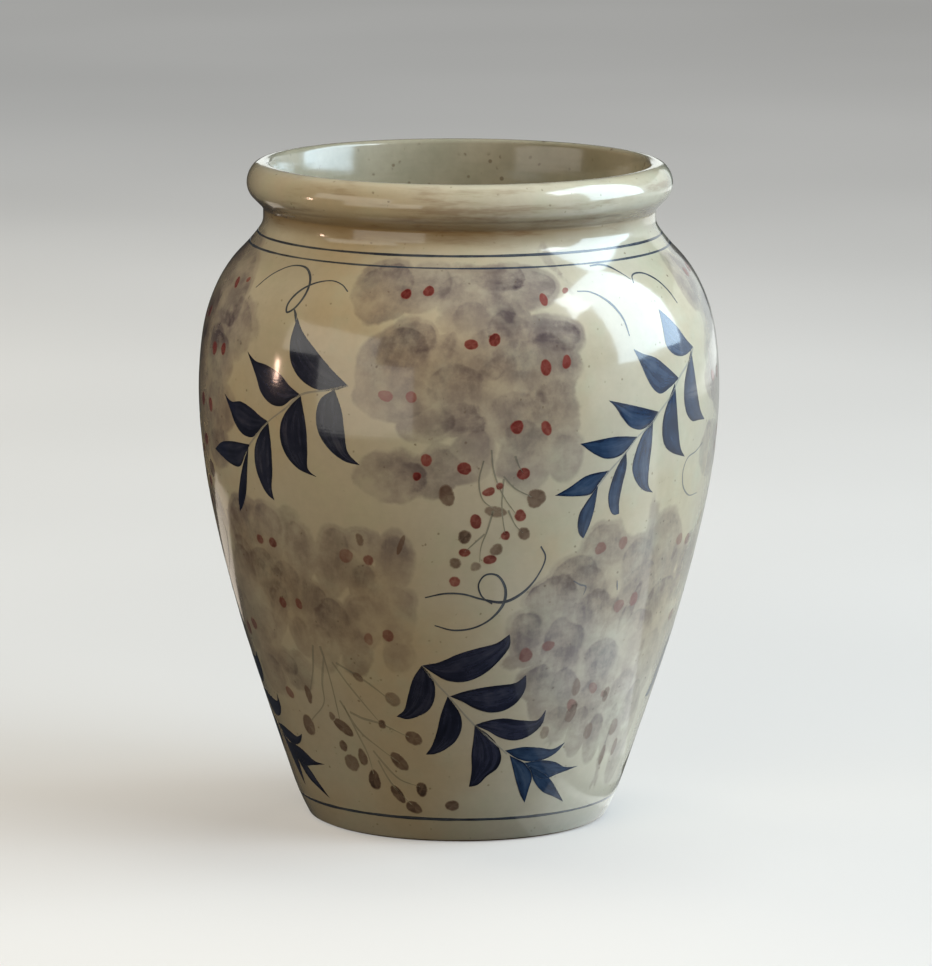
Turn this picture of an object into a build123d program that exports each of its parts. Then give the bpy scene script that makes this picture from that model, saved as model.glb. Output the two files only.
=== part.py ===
from build123d import *

# A wide-mouthed stoneware jar: a pear-shaped body on a low foot ring, a short neck and a rolled rim.
# The clay is formed in three sections, luted (joined with wet clay) to each other: the foot ring, the
# body with its floor, and the neck with its rolled rim. A glaze coat lines the inside, another covers
# the outside, and they meet on the crown of the rim. Three painted cobalt bands lie in grooves of the
# outer coat.
#
# Everything is turned about +Z. The jar stands on Z = 0, and the origin is the centre of its foot.
# Outlines are drawn in the XZ plane, where X is the radius, and all lengths are in millimetres.

import math
import os

# ---- Driving dimensions ----

WALL = 5.0                      # thickness of the finished wall, with both glaze coats
GLAZE = 0.5                     # thickness of each glaze coat
FLOOR_TOP_Z = 12.0              # height of the finished floor inside the jar

# The outer glaze starts here, just above the bare edge of the foot
GLAZE_STOP_R = 56.8
GLAZE_STOP_Z = 0.95
GLAZE_STOP_SLOPE = 54.0

# The finished outside above that, as (height, slope there in degrees from the radial direction). It
# is a chain of tangent arcs between these places, and straight where the slope stays the same.
FOOT_SLOPES = [
    (1.4, 62.0),
    (4.8, 64.3),                # the foot ring ends here
]
BODY_SLOPES = [
    (16.0, 71.4),
    (60.0, 72.1),
    (120.0, 78.4),
    (155.0, 86.6),
    (185.0, 97.9),
    (204.0, 116.0),
    (217.0, 135.0),             # the neck section is luted on here
]
NECK_SLOPES = [
    (225.0, 124.5),
    (229.0, 90.0),              # the neck is narrowest here
]
RIM_SLOPES = [
    (232.0, 90.0),
    (233.3, 45.0),              # crease under the roll
    (236.8, 45.0),
    (242.0, 90.0),              # the roll is widest here
    (248.0, 130.0),
    (250.0, 180.0),             # crown, the jar's full height
]

# Inside the crown a small round edge leads into a flare, which is this far from upright at its top
# and upright at the narrowest place of the neck
MOUTH_FLARE = 14.0

# Foot ring
FOOT_INNER_R = 46.5
FOOT_CHAMFER = 0.8              # broken inner edge of the standing face

# Painted bands in the outer glaze, as (height of the middle, height of the band)
BAND_DEPTH = 0.15
BANDS = {
    "foot_band": (10.0, 1.3),
    "lower_neck_band": (220.2, 0.9),
    "upper_neck_band": (224.0, 1.1),
}


# ---- Outline helpers: every outline edge runs with the jar's material on its left ----

def at(radius, height):
    """A point of an outline."""
    return Vector(radius, 0, height)


def straight(start, end):
    """A straight edge."""
    return Line(start, end).edge()


def tangent_chain(start, slope, places):
    """Edges from a start point through places of (height, slope), each tangent to the next."""
    edges = []
    for height, end_slope in places:
        a, b = math.radians(slope), math.radians(end_slope)
        rise = height - start.Z
        if slope == end_slope:
            end = at(start.X + rise / math.tan(a), height)
            edges.append(straight(start, end))
        else:
            radius = rise / (math.cos(a) - math.cos(b))
            turns = (a, (a + b) / 2, b)
            points = [
                start + Vector(math.sin(t) - math.sin(a), 0, math.cos(a) - math.cos(t)) * radius
                for t in turns
            ]
            edges.append(ThreePointArc(*points).edge())
            end = points[-1]
        start, slope = end, end_slope
    return edges


def beside(edge, share, distance):
    """The point at a distance outside an outline edge, or inside it where the distance is negative."""
    along = edge.tangent_at(share)
    return edge.position_at(share) + Vector(along.Z, 0, -along.X) * distance


def parallel(edges, distance):
    """The edges that run beside a chain of arcs and straight edges, at a constant distance."""
    return [
        straight(beside(edge, 0, distance), beside(edge, 1, distance))
        if edge.geom_type == GeomType.LINE
        else ThreePointArc(*(beside(edge, share, distance) for share in (0, 0.5, 1))).edge()
        for edge in edges
    ]


def ends(edges):
    """The first and last points of a chain."""
    return edges[0].position_at(0), edges[-1].position_at(1)


def inside_of(edges):
    """The finished inside of a stretch of wall, which runs down where the outside runs up."""
    return [
        straight(edge.position_at(1), edge.position_at(0))
        if edge.geom_type == GeomType.LINE
        else ThreePointArc(*(edge.position_at(share) for share in (1, 0.5, 0))).edge()
        for edge in reversed(parallel(edges, -WALL))
    ]


def share_at_height(edge, height):
    """The share of its length at which a rising edge reaches a height."""
    low, high = 0.0, 1.0
    for _ in range(50):
        middle = (low + high) / 2
        if edge.position_at(middle).Z < height:
            low = middle
        else:
            high = middle
    return low


def turned(*edges):
    """The solid made by turning a closed outline about Z."""
    return revolve(make_face(Wire(edges)), axis=Axis.Z)


# ---- The finished outline, up the outside, over the rim and down the inside ----

foot = tangent_chain(at(GLAZE_STOP_R, GLAZE_STOP_Z), GLAZE_STOP_SLOPE, FOOT_SLOPES)
body_wall = tangent_chain(ends(foot)[1], FOOT_SLOPES[-1][1], BODY_SLOPES)
neck = tangent_chain(ends(body_wall)[1], BODY_SLOPES[-1][1], NECK_SLOPES)
rim = tangent_chain(ends(neck)[1], NECK_SLOPES[-1][1], RIM_SLOPES)

neck_inside = inside_of(neck)
throat_foot = ends(neck_inside)[0]
crown = ends(rim)[1]
inset, drop = crown.X - throat_foot.X, crown.Z - throat_foot.Z
sine, cosine = math.sin(math.radians(MOUTH_FLARE)), math.cos(math.radians(MOUTH_FLARE))
edge_r = (inset * sine - drop * (1 - cosine)) / (cosine * sine - (1 - sine) * (1 - cosine))
edge_z = crown.Z - edge_r * (1 - sine)
mouth = tangent_chain(crown, 180, [(edge_z, 270 - MOUTH_FLARE), (throat_foot.Z, 270)])

# The wall's inside keeps its distance from the outside down to the floor's round corner
wall_inside = inside_of(body_wall[1:])
corner_start = ends(wall_inside)[1]
corner_slope = BODY_SLOPES[0][1]
corner = tangent_chain(corner_start, 180 + corner_slope, [(FLOOR_TOP_Z, 180)])
floor = [straight(ends(corner)[1], at(0, FLOOR_TOP_Z))]

outside_chain = [*foot, *body_wall, *neck, *rim]
inside_chain = [*mouth, *neck_inside, *wall_inside, *corner, *floor]


# ---- Clay sections ----

clay_foot = parallel(foot, -GLAZE)
clay_body_outside = parallel(body_wall, -GLAZE)
clay_body_inside = parallel([*wall_inside, *corner, *floor], -GLAZE)
foot_joint = ends(clay_foot)[1]


def foot_ring():
    """The ring that the jar stands on, bare below the glaze and rounded down to its standing face."""
    slope = math.radians(GLAZE_STOP_SLOPE)
    bare_end = ends(clay_foot)[0]
    round_r = bare_end.Z / (1 - math.cos(slope))
    contact = at(bare_end.X - round_r * math.sin(slope), 0)
    bare_round = tangent_chain(contact, 0, [(bare_end.Z, GLAZE_STOP_SLOPE)])
    ring_top = at(FOOT_INNER_R, foot_joint.Z)
    chamfer_top = at(FOOT_INNER_R, FOOT_CHAMFER)
    chamfer_foot = at(FOOT_INNER_R + FOOT_CHAMFER, 0)
    return turned(
        *bare_round,
        *clay_foot,
        straight(foot_joint, ring_top),
        straight(ring_top, chamfer_top),
        straight(chamfer_top, chamfer_foot),
        straight(chamfer_foot, contact),
    )


def body():
    """The wall and the floor, from the foot ring to the neck."""
    underside_centre = at(0, foot_joint.Z)
    return turned(
        *clay_body_outside,
        straight(ends(clay_body_outside)[1], ends(clay_body_inside)[0]),
        *clay_body_inside,
        straight(ends(clay_body_inside)[1], underside_centre),
        straight(underside_centre, foot_joint),
    )


def neck_and_rim():
    """The short neck and the rolled rim."""
    surface = parallel([*neck, *rim, *mouth, *neck_inside], -GLAZE)
    return turned(*surface, straight(ends(surface)[1], ends(surface)[0]))


# ---- Glaze coats, which meet on the crown of the rim ----

def coat(surface, finished):
    """A glaze coat between the clay under a finished chain and the surface that it ends in."""
    clay = parallel(finished, -GLAZE)
    return turned(
        *surface,
        straight(ends(surface)[1], ends(clay)[1]),
        *clay,
        straight(ends(clay)[0], ends(surface)[0]),
    )


def band_shares(edge, band):
    """The shares of a wall edge between which a band lies."""
    middle, tall = band
    return [share_at_height(edge, middle + side * tall / 2) for side in (-1, 1)]


def groove(surface):
    """The sides and the bottom of the groove under a stretch of the outer surface."""
    bottom = parallel([surface], -BAND_DEPTH)
    return [
        straight(surface.position_at(0), ends(bottom)[0]),
        *bottom,
        straight(ends(bottom)[1], surface.position_at(1)),
    ]


def grooved(edge):
    """An outer edge with a groove for each band that lies on it, from the lowest band up."""
    low_z, high_z = edge.position_at(0).Z, edge.position_at(1).Z
    pieces, start = [], 0.0
    for band in BANDS.values():
        if low_z < band[0] < high_z:
            low, high = band_shares(edge, band)
            pieces += [edge.trim(start, low), *groove(edge.trim(low, high))]
            start = high
    return [*pieces, edge.trim(start, 1)] if pieces else [edge]


def outer_glaze():
    """The outer coat, with a groove for each band."""
    return coat([piece for edge in outside_chain for piece in grooved(edge)], outside_chain)


def inner_glaze():
    """The inner coat, from the crown down over the floor."""
    return coat(inside_chain, inside_chain)


def painted_band(band):
    """A painted line round the jar, flush with the glaze."""
    edge = next(edge for edge in outside_chain if edge.position_at(1).Z > band[0])
    surface = edge.trim(*band_shares(edge, band))
    return turned(surface, *groove(surface))


os.makedirs("parts", exist_ok=True)
export_step(foot_ring(), "parts/foot_ring.step")
export_step(body(), "parts/body.step")
export_step(neck_and_rim(), "parts/neck_and_rim.step")
export_step(inner_glaze(), "parts/inner_glaze.step")
export_step(outer_glaze(), "parts/outer_glaze.step")
for band_name, band_place in BANDS.items():
    export_step(painted_band(band_place), f"parts/{band_name}.step")
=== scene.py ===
# The looks of the painted stoneware jar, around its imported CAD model.
#
# The outside of the jar is described by a chart, like a label peeled off the wall. Chart x is the
# distance round the wall from the front, taken at a radius of CHART_R and growing towards +X. Chart
# y is the distance up along the wall's outline, and is 0 where the outline is CHART_MIDDLE long.
# Both are in millimetres. Every painted motif is placed on that chart.

import math
import random

import bpy
import bmesh
import numpy as np
from mathutils import Matrix, Quaternion, Vector


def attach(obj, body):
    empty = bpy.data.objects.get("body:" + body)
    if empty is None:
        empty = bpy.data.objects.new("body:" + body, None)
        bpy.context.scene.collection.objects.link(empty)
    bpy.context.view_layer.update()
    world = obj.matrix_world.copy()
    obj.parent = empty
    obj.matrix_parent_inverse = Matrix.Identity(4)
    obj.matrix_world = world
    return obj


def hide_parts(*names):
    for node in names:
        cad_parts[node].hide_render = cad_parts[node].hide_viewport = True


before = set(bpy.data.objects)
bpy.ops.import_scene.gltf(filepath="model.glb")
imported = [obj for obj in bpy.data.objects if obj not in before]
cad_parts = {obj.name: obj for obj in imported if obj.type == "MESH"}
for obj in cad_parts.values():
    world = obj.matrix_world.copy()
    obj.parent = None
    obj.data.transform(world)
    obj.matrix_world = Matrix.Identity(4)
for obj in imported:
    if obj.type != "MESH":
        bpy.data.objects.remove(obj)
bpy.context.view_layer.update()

MM = 0.001

# ---- The jar's outline, as in the CAD model: (height, slope in degrees from the radial direction) ----

OUTSIDE_START = (56.8, 0.95, 54.0)      # radius, height and slope where the outer glaze starts
OUTSIDE_SLOPES = [
    (1.4, 62.0), (4.8, 64.3), (16.0, 71.4), (60.0, 72.1), (120.0, 78.4), (155.0, 86.6),
    (185.0, 97.9), (204.0, 116.0), (217.0, 135.0), (225.0, 124.5), (229.0, 90.0), (232.0, 90.0),
    (233.3, 45.0), (236.8, 45.0), (242.0, 90.0), (248.0, 130.0), (250.0, 180.0),
]
WALL = 5.0
COAT = 0.5                              # thickness of a glaze coat
FLOOR_TOP_Z = 12.0
FLOOR_CORNER_Z = 16.0                   # the wall's height where the floor's round corner starts
FLOOR_CORNER_SLOPE = 71.4               # and its slope there
NECK_Z = 229.0
MOUTH_FLARE = 14.0                      # degrees from upright, just under the crown
SKIN = 0.07                             # the glaze surface lies this far inside the CAD surface
PAINT_TOP = -0.025                      # the paint's surface, from the CAD surface
PAINT_FOOT = -0.12                      # and its underside, below the surface of the glaze

OUTLINE_STEP = 0.5                      # between the points of the outline
CHART_R = 94.6
CHART_MIDDLE = 129.9
ROUND = 2 * math.pi * CHART_R           # once round the chart
REPEAT = ROUND / 4                      # the painted pattern comes four times round the jar
PHASES = 6.28                           # random phases of waves are drawn from 0 up to this
TINY = 1e-9                             # keeps divisions away from zero


def arc_points(start, places, step):
    """Points (radius, height, slope) along tangent arcs and straight runs through the places."""
    radius, height, slope = start[0], start[1], math.radians(start[2])
    points = [(radius, height, slope)]
    for end_height, end_degrees in places:
        end_slope = math.radians(end_degrees)
        rise = end_height - height
        turn = end_slope - slope
        straight = abs(turn) < TINY
        if straight:
            run = abs(rise / math.sin(slope))
        else:
            bend = rise / (math.cos(slope) - math.cos(end_slope))
            run = abs(bend * turn)
        count = max(2, math.ceil(run / step))
        for i in range(1, count + 1):
            here = slope + turn * i / count
            if straight:
                aside = run * i / count * math.cos(slope)
                up = run * i / count * math.sin(slope)
            else:
                aside = bend * (math.sin(here) - math.sin(slope))
                up = bend * (math.cos(slope) - math.cos(here))
            points.append((radius + aside, height + up, here))
        radius, height, slope = points[-1][0], points[-1][1], end_slope
    return np.array(points)


def beside(points, distance):
    """Radius and height of points at a distance outside an outline."""
    radius, height, slope = points.T
    return np.stack([radius + distance * np.sin(slope), height - distance * np.cos(slope)], 1)


outline = arc_points(OUTSIDE_START, OUTSIDE_SLOPES, OUTLINE_STEP)
outline_length = np.concatenate([[0], np.cumsum(np.hypot(*np.diff(outline[:, :2], axis=0).T))])


def wall_at(y):
    """Radius, height and slope of the outline at chart heights."""
    return [np.interp(np.asarray(y) + CHART_MIDDLE, outline_length, outline[:, k]) for k in range(3)]


def chart_y(height):
    """The chart height of a place below the rim, from its real height."""
    below = outline[:, 1] <= height
    return float(np.interp(height, outline[below, 1], outline_length[below])) - CHART_MIDDLE


def on_jar(x, y, lift):
    """Places of chart points at a distance outside the CAD surface, in metres."""
    radius, height, slope = wall_at(y)
    around = np.asarray(x) / CHART_R
    out = radius + lift * np.sin(slope)
    up = height - lift * np.cos(slope)
    return np.stack([out * np.sin(around), -out * np.cos(around), up], -1) * MM


# ---- Painted motifs, on the chart ----

# A leaf is (tip, edge points, base, edge points): its outline runs from the tip along one edge to
# the base, and back to the tip along the other.
LEFT_SPRAY = [
    ((-65.6, 76.5), [(-61.5, 71.3), (-54.5, 65.2), (-47, 58.6)], (-40.3, 53.2),
     [(-45, 51.2), (-52, 50.6), (-60, 53.8), (-65, 59.5), (-66.6, 67)]),
    ((-88.8, 61.2), [(-83.5, 58.3), (-77, 57.4), (-70, 55), (-64.5, 50.8)], (-59.3, 48),
     [(-63.5, 46.3), (-68, 43.2), (-73.5, 43.2), (-79, 46.8), (-82.6, 53)]),
    ((-102.8, 43.6), [(-97.5, 41.3), (-91, 42.1), (-84.5, 40.6), (-79.3, 38.2)], (-74.8, 36.6),
     [(-78.8, 33.5), (-84, 29.6), (-90, 29.9), (-94.8, 33.2), (-98.2, 38)]),
    ((-113.8, 20.8), [(-107, 24.4), (-98.5, 26.1)], (-85.8, 26.6),
     [(-89.5, 22), (-93.5, 17.2), (-99.5, 17), (-106.5, 18.7)]),
    ((-35.6, 24), [(-40.2, 28.5), (-41.3, 35), (-42.6, 44)], (-45.6, 51.5),
     [(-51.2, 47.5), (-53, 41), (-51.8, 34.5), (-47.5, 28.8), (-41.5, 25)]),
    ((-53.3, 18), [(-57, 20.8), (-56.9, 27), (-57.1, 36)], (-59.6, 48),
     [(-64.5, 43.5), (-68.5, 37.5), (-69.3, 31), (-66.8, 25), (-61.5, 20.4)]),
    ((-74.6, 6.6), [(-75.4, 11), (-74.2, 18), (-74, 28)], (-74.9, 36.4),
     [(-79.5, 32), (-83, 26), (-83.6, 19.5), (-81.5, 13), (-78.3, 8.6)]),
    ((-98.2, -0.9), [(-95, 1.8), (-91.3, 7.5), (-89.3, 14.5)], (-86.8, 25.6),
     [(-91.5, 18), (-95, 11), (-97.6, 4.5)]),
]
LEFT_STEM = [(-40.3, 53.2), (-47, 51.2), (-59.5, 48.3), (-66.5, 42.5), (-75, 36.6), (-86.3, 26.4)]

RIGHT_SPRAY = [
    ((87.2, 78), [(91.2, 74.6), (96, 70), (100.5, 64.8)], (105.2, 61.2),
     [(101, 59.6), (95.5, 59), (90, 60.6), (86.6, 64), (86.4, 70.5)]),
    ((68.6, 64.8), [(73, 62.6), (79.5, 60.4), (86, 56)], (92.6, 51.2),
     [(87.5, 48.8), (81, 46.8), (77, 49.2), (74.2, 53.2), (71.4, 59)]),
    ((55.8, 47), [(62, 45.4), (70, 43.2)], (80.2, 40.2),
     [(76.5, 36.6), (71, 34.6), (65.5, 36.2), (61.8, 40), (58.5, 44.5)]),
    ((44.2, 31.8), [(51, 32.6), (59.5, 33.2)], (69.4, 32.2),
     [(65.5, 28.6), (61.5, 25.8), (55.5, 25.2), (50, 27.6)]),
    ((35.2, 12.8), [(41, 15.8), (47.5, 19.6)], (57.4, 20.8),
     [(53.6, 16.8), (50, 12.4), (43, 12)]),
    ((113.5, 32.8), [(109, 37), (106.2, 44), (104.4, 52)], (103.2, 60.6),
     [(99.2, 55), (96.2, 49), (95.6, 42.5), (97.6, 37.2), (102, 33.8), (107.5, 33.4)]),
    ((98.2, 20.8), [(94.6, 24.6), (92.4, 31), (90.8, 40)], (89.8, 49.8),
     [(85.6, 44), (82.6, 38), (82.2, 31.5), (84.4, 26.6), (89, 23.6)]),
    ((79.9, 9.6), [(77, 12.4), (76.2, 20), (76.8, 29)], (76.8, 37.6),
     [(72, 33.2), (68.8, 27), (67.6, 20), (70, 15), (74.4, 11.2)]),
    ((63.4, 3.4), [(62.8, 8), (63.6, 15), (64.8, 21.5)], (64.2, 27.2),
     [(60.8, 22.4), (58.4, 16.5), (57.4, 10.5), (58.6, 5.8), (60.8, 3.2)]),
    ((48.4, -4.8), [(50.2, -0.5), (51.6, 5), (52.2, 10)], (52.6, 15.4),
     [(48.4, 9.8), (45.6, 5), (45.4, 0), (46.6, -3.2)]),
]
RIGHT_STEM = [
    (105.2, 61.2), (102.5, 58), (92.4, 51), (88, 46), (80, 40), (76.5, 36.5), (69.2, 32),
    (64, 26.6), (57.2, 20.6), (52.4, 15),
]

LOW_SPRAY = [
    ((21.3, -41.3), [(16, -44.8), (8, -46.8), (0, -49.2), (-8, -52.6)], (-15.6, -54.2),
     [(-11, -57.2), (-5, -60.3), (3, -60.8), (11, -57.8), (18, -51.8), (21.8, -46)]),
    ((-29.2, -76.4), [(-25, -73.2), (-22.6, -67), (-19.8, -60)], (-15.6, -54.2),
     [(-11.8, -58), (-10.1, -63), (-10.8, -69), (-13.6, -73.2), (-18.5, -75.8), (-24, -77.3)]),
    ((30.2, -58.6), [(26, -61.6), (19, -62.4), (11, -63.2), (3, -64.8)], (-3.8, -66.9),
     [(2, -69.2), (8, -72.2), (15, -74), (22, -73.2), (27.4, -70), (30.6, -64.6)]),
    ((-16.2, -92.1), [(-13.2, -88.8), (-10.2, -82.5), (-8, -75)], (-4.6, -66.9),
     [(-1.6, -70.5), (1.4, -75), (1.9, -80.5), (-0.8, -85.8), (-5.5, -89.3), (-11, -91.6)]),
    ((42.4, -74), [(39, -78), (31, -77.9), (22, -76.6), (14, -77.4)], (7.6, -79.2),
     [(14, -81.6), (21, -85), (29, -86.4), (36.5, -84.4), (41.6, -80)]),
    ((6, -105.8), [(7.2, -99), (6.9, -92), (7.6, -85)], (8, -79.2),
     [(15.2, -83.6), (20.2, -88.6), (22.3, -93.8), (20.6, -98), (15.5, -101.2), (11, -104.8)]),
    ((56.8, -89.2), [(50, -91.4), (42, -90.2), (33, -89.4)], (23.6, -90.4),
     [(30.5, -94.2), (38, -96), (46, -95.6), (53, -93)]),
    ((69.6, -100.6), [(60, -100), (53.5, -97.4), (46, -95.9)], (35, -96.2),
     [(41, -101.4), (48, -104.2), (56, -102.8)]),
    ((65, -115.6), [(58.5, -110), (53, -105.2), (47, -101.5)], (38, -98),
     [(42, -104.5), (48.5, -109.6), (57, -112.6)]),
    ((38.6, -113.8), [(39.8, -108), (40.6, -102.8), (37, -97.6)], (26.4, -92.6),
     [(29, -98.4), (32, -104.8), (35.6, -110.6)]),
]
LOW_STEM = [(-15.6, -54.2), (-9, -62), (-4, -67), (2, -73.5), (8, -79.2), (16, -85.4), (25, -92)]

# Tendrils, each as the points of its line
UPPER_TENDRIL = [
    [(-95.5, 85), (-89, 92), (-80.5, 96.6), (-71.5, 96.4), (-66, 91.5), (-65.2, 86), (-68, 80),
     (-71.6, 77.8), (-72.4, 80.6), (-69.4, 86), (-63, 90.4), (-55, 92.2), (-49.5, 90.8), (-46, 88.2)],
    [(-68.6, 79.6), (-67, 77.6), (-65.8, 74.5)],
]
RIGHT_TENDRIL = [
    [(60.5, 99), (66, 99.2), (71, 97.6), (76, 93.6), (78.6, 91.2)],
    [(79, 89.4), (80.4, 92.4), (84.6, 93.4), (90, 92.2), (95.4, 88.4), (99, 83.6), (101.5, 78.5)],
    [(49, 88.6), (55, 87.8), (62, 83.2), (66.5, 76.5), (67.8, 69.6)],
]
LOWER_TENDRIL = [
    [(-13, -26.4), (-5, -24.6), (2, -24.8), (9, -26.8), (18, -28.2), (25.5, -24.6), (31, -18),
     (33.4, -11), (31.2, -6.6)],
    [(-9.5, -37.6), (-2, -39.4), (6.5, -38.4), (13.5, -34.6), (18, -28.6), (18.2, -22.4), (14.8, -17.4),
     (10.4, -17.2), (7.8, -21), (9.4, -26), (13.4, -28.8)],
]

# The start of the next group on the right, and small strokes among the petals of the lower right one
EDGE_TENDRIL = [
    [(113, 24), (107, 21.6), (100.5, 20), (98, 15.5), (99.5, 9.5), (105.5, 5), (114, 4.5)],
    [(46.4, -21.4), (49.6, -23.2), (52.4, -24.2), (51.8, -27.4)],
    [(67.6, -23.4), (68.6, -27.4)],
]

# Berries and buds, as (x, y, width, height, turn in degrees, strength)
UPPER_BERRIES = [
    (-21.2, 88.6, 4.4, 4.6, 0, 1), (-12.3, 90, 4.8, 4.6, 10, 0.95),
    (4.4, 69.6, 5.4, 4, 0, 0.9), (13, 71.4, 4.4, 5.2, -20, 1),
    (33.6, 86.2, 3.6, 5.4, 10, 0.75), (43.8, 89.2, 3.4, 2.4, 40, 0.65),
    (31.4, 60.6, 4.4, 6.2, 5, 0.9), (39.5, 62.4, 3.6, 5.4, -8, 0.8),
    (-26.2, 50.2, 6, 4.2, -20, 0.5), (-16.8, 50.2, 4, 4.8, 15, 0.55),
    (20.6, 39.2, 5, 5.2, 0, 0.95), (31.2, 38.4, 3.8, 6, 20, 0.8),
    (-11.4, 27, 4.2, 5, 10, 0.8), (-14.8, 20.9, 3.4, 3.4, 0, 1),
    (2, 24, 5.4, 4.8, -20, 1), (23.2, 21.8, 5.2, 4.6, 10, 1.05),
    (10.8, 15.2, 5, 3.4, 20, 0.8), (14.6, 17.4, 3, 3, 0, 0.85),
    (6.2, 3.8, 4.4, 6, 10, 1), (22.6, 5.8, 4.2, 5.2, 10, 0.9), (17.4, -1.8, 3.6, 3.8, 30, 0.9),
    (2.2, -8.2, 4.4, 3.6, 0, 0.95), (11.8, -11, 5.2, 4, 10, 0.95), (-1.4, -19.8, 4.4, 4.4, 0, 0.75),
]
# Buds of the hanging bunch, and of the bunch under the lower group further down
UPPER_BUDS = [
    (-4.2, 13.8, 6, 8.4, 15, 0.75), (28.2, 12.2, 7.4, 7.6, 0, 0.8), (24.4, -1.4, 4.6, 5.8, 30, 0.75),
    (2.2, -2.2, 5.2, 5.6, 0, 1), (-1.2, -12.4, 5, 4.4, 0, 0.75), (13.4, 7.6, 8.4, 4.6, -12, 0.6),
    (14.2, -7.2, 4.6, 5.6, -30, 0.7), (6.6, -13.8, 4.4, 4, 20, 0.5), (-21.6, -6, 2.2, 9, -20, 0.55),
]
UPPER_STALKS = [
    [(11.5, 31), (12.2, 24), (14, 18), (17, 12), (21, 6.4)],
    [(20, 28.5), (21.5, 24.5), (23, 22)],
    [(16, 21), (20, 16.5), (26.5, 12.8)],
    [(8.8, 27), (7.2, 19), (8.8, 12), (14, 8)],
    [(16, 20), (15.6, 10), (16.4, 3), (17.2, -1)],
    [(12.5, 8), (10.4, 0), (8.4, -6), (8, -12)],
    [(9.6, -1), (5.4, -5), (2.4, -8)],
    [(18, 8), (21, 2), (24, -1)],
]

LOWER_BERRIES = [
    (-87, -10.2, 4.6, 4, 0, 0.8), (-79.2, -10.4, 5, 4, 0, 0.95),
    (-80.2, -34.4, 4.6, 4.6, 0, 0.8), (-70.4, -33.6, 4, 4.6, 10, 0.75),
    (-44, -11.6, 6.4, 5.8, 10, 0.4), (-34.6, -12.6, 4.4, 4.4, -30, 0.75),
    (-38, -44.6, 4.4, 5.4, 0, 0.45), (-29.2, -42.6, 5.6, 5, -30, 0.7),
    (-119.4, -50.4, 6, 6, 0, 0.7), (-109.8, -47.4, 5.8, 5.2, 0, 0.6), (-92.4, -73, 6.6, 5, -20, 0.55),
]
LOWER_RIGHT_BERRIES = [
    (56.8, -9.4, 5.6, 5, 20, 0.6), (67.4, -8.4, 4.6, 5.4, 0, 0.5),
    (71.2, -34, 6, 5.4, 20, 0.5), (79.6, -32.4, 5, 5.8, 0, 0.8),
    (29, -50.4, 6.2, 6.2, 0, 0.85), (38.8, -47.2, 5.8, 4.8, 10, 0.7),
    (56.2, -73.6, 7, 5.6, -30, 0.6), (66.4, -67.2, 6.4, 4.4, -35, 0.4), (74.8, -70.8, 5, 3.6, -30, 0.4),
    (104.8, -12.2, 6, 5, 0, 0.4), (113.8, -13.4, 5, 5, 0, 0.5), (118.6, -44.6, 5, 5, 0, 0.5),
]
LOWER_BUDS = [
    (-21.6, -85.2, 9, 6, -15, 0.75), (-37, -80.2, 4.4, 4, -20, 0.85), (-59, -83.6, 12, 5.6, -28, 0.85),
    (-83.4, -85.6, 9.4, 9, 40, 0.7), (-61.6, -91.6, 5.4, 5, 0, 0.8), (-58.6, -98.6, 9.6, 7.4, 0, 0.55),
    (-51, -95.4, 5.4, 8, 10, 0.7), (-46.2, -104.6, 7.6, 8.8, 0, 1), (-30.4, -95.6, 11, 6.2, -30, 0.8),
    (-19.4, -107.2, 6.6, 6.4, 0, 1.1), (-33.2, -109.8, 9.6, 5.6, -45, 0.95),
    (-24.6, -115.2, 9.8, 5.4, -15, 0.9), (-2.8, -113.8, 8.6, 4.6, 0, 0.85),
    (-77.4, -72, 4.6, 8, 0, 0.7), (-30, -69.2, 8, 6, -20, 0.4),
    (-37.6, -4.6, 3.4, 5.4, 10, 0.6), (-64.8, -79.4, 4, 4, 0, 0.6), (-45.6, -61, 6, 3.6, -30, 0.45),
]
LOWER_RIGHT_BUDS = [
    (56.5, -66, 5, 7.5, 10, 0.5), (76, -71, 4.5, 6.5, 0, 0.55), (56.5, -76.5, 5.5, 9.5, -20, 0.55),
    (70.5, -86, 6, 7, 0, 0.4), (90, -86.5, 6.5, 8, 0, 0.4), (87, -98, 4, 9, 0, 0.45),
    (97, -96, 4.5, 8, 0, 0.4), (43.5, -84, 5, 6, 0, 0.3),
]
LOWER_STALKS = [
    [(-63, -50), (-61.6, -58), (-60.8, -66), (-60.4, -80)],
    [(-67, -50), (-70, -60), (-75.4, -70)],
    [(-62, -54), (-66.4, -66), (-68, -74), (-80, -83)],
    [(-58, -56), (-52, -64), (-45, -72), (-38.4, -79)],
    [(-56, -56), (-46, -60.4), (-38, -65), (-30, -70.6)],
    [(-53.4, -76.4), (-47, -78.4), (-38.4, -79.8), (-24, -84.8)],
    [(-58, -72), (-50, -84), (-41, -90), (-30, -96.4)],
    [(-56.4, -74), (-51, -86), (-47.4, -94), (-46, -102)],
    [(-44, -92), (-37, -99), (-31, -103.4), (-20.4, -106)],
    [(-42, -96), (-38, -103), (-33.6, -108), (-26, -114)],
]

# ---- Copies round the jar: the pattern was painted four times, each a little differently ----


def hand(copy, points):
    """Points of a motif in another copy round the jar, with the small changes of a new painting."""
    if copy == 0:
        return points
    rng = random.Random(71 + copy)
    phase = [rng.uniform(0, 2 * math.pi) for _ in range(4)]
    size = rng.uniform(1.2, 2.4)
    moved = []
    for x, y in points:
        aside = math.sin(y / 31 + phase[0]) + 0.6 * math.sin(x / 23 + phase[1])
        up = math.sin(x / 37 + phase[2]) + 0.5 * math.sin(y / 19 + phase[3])
        moved.append((x + copy * REPEAT + size * aside, y + size * 0.8 * up))
    return moved


def hand_leaf(copy, leaf):
    """A leaf painted again in another copy."""
    tip, first, base, second = leaf
    return hand(copy, [tip])[0], hand(copy, first), hand(copy, [base])[0], hand(copy, second)


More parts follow.
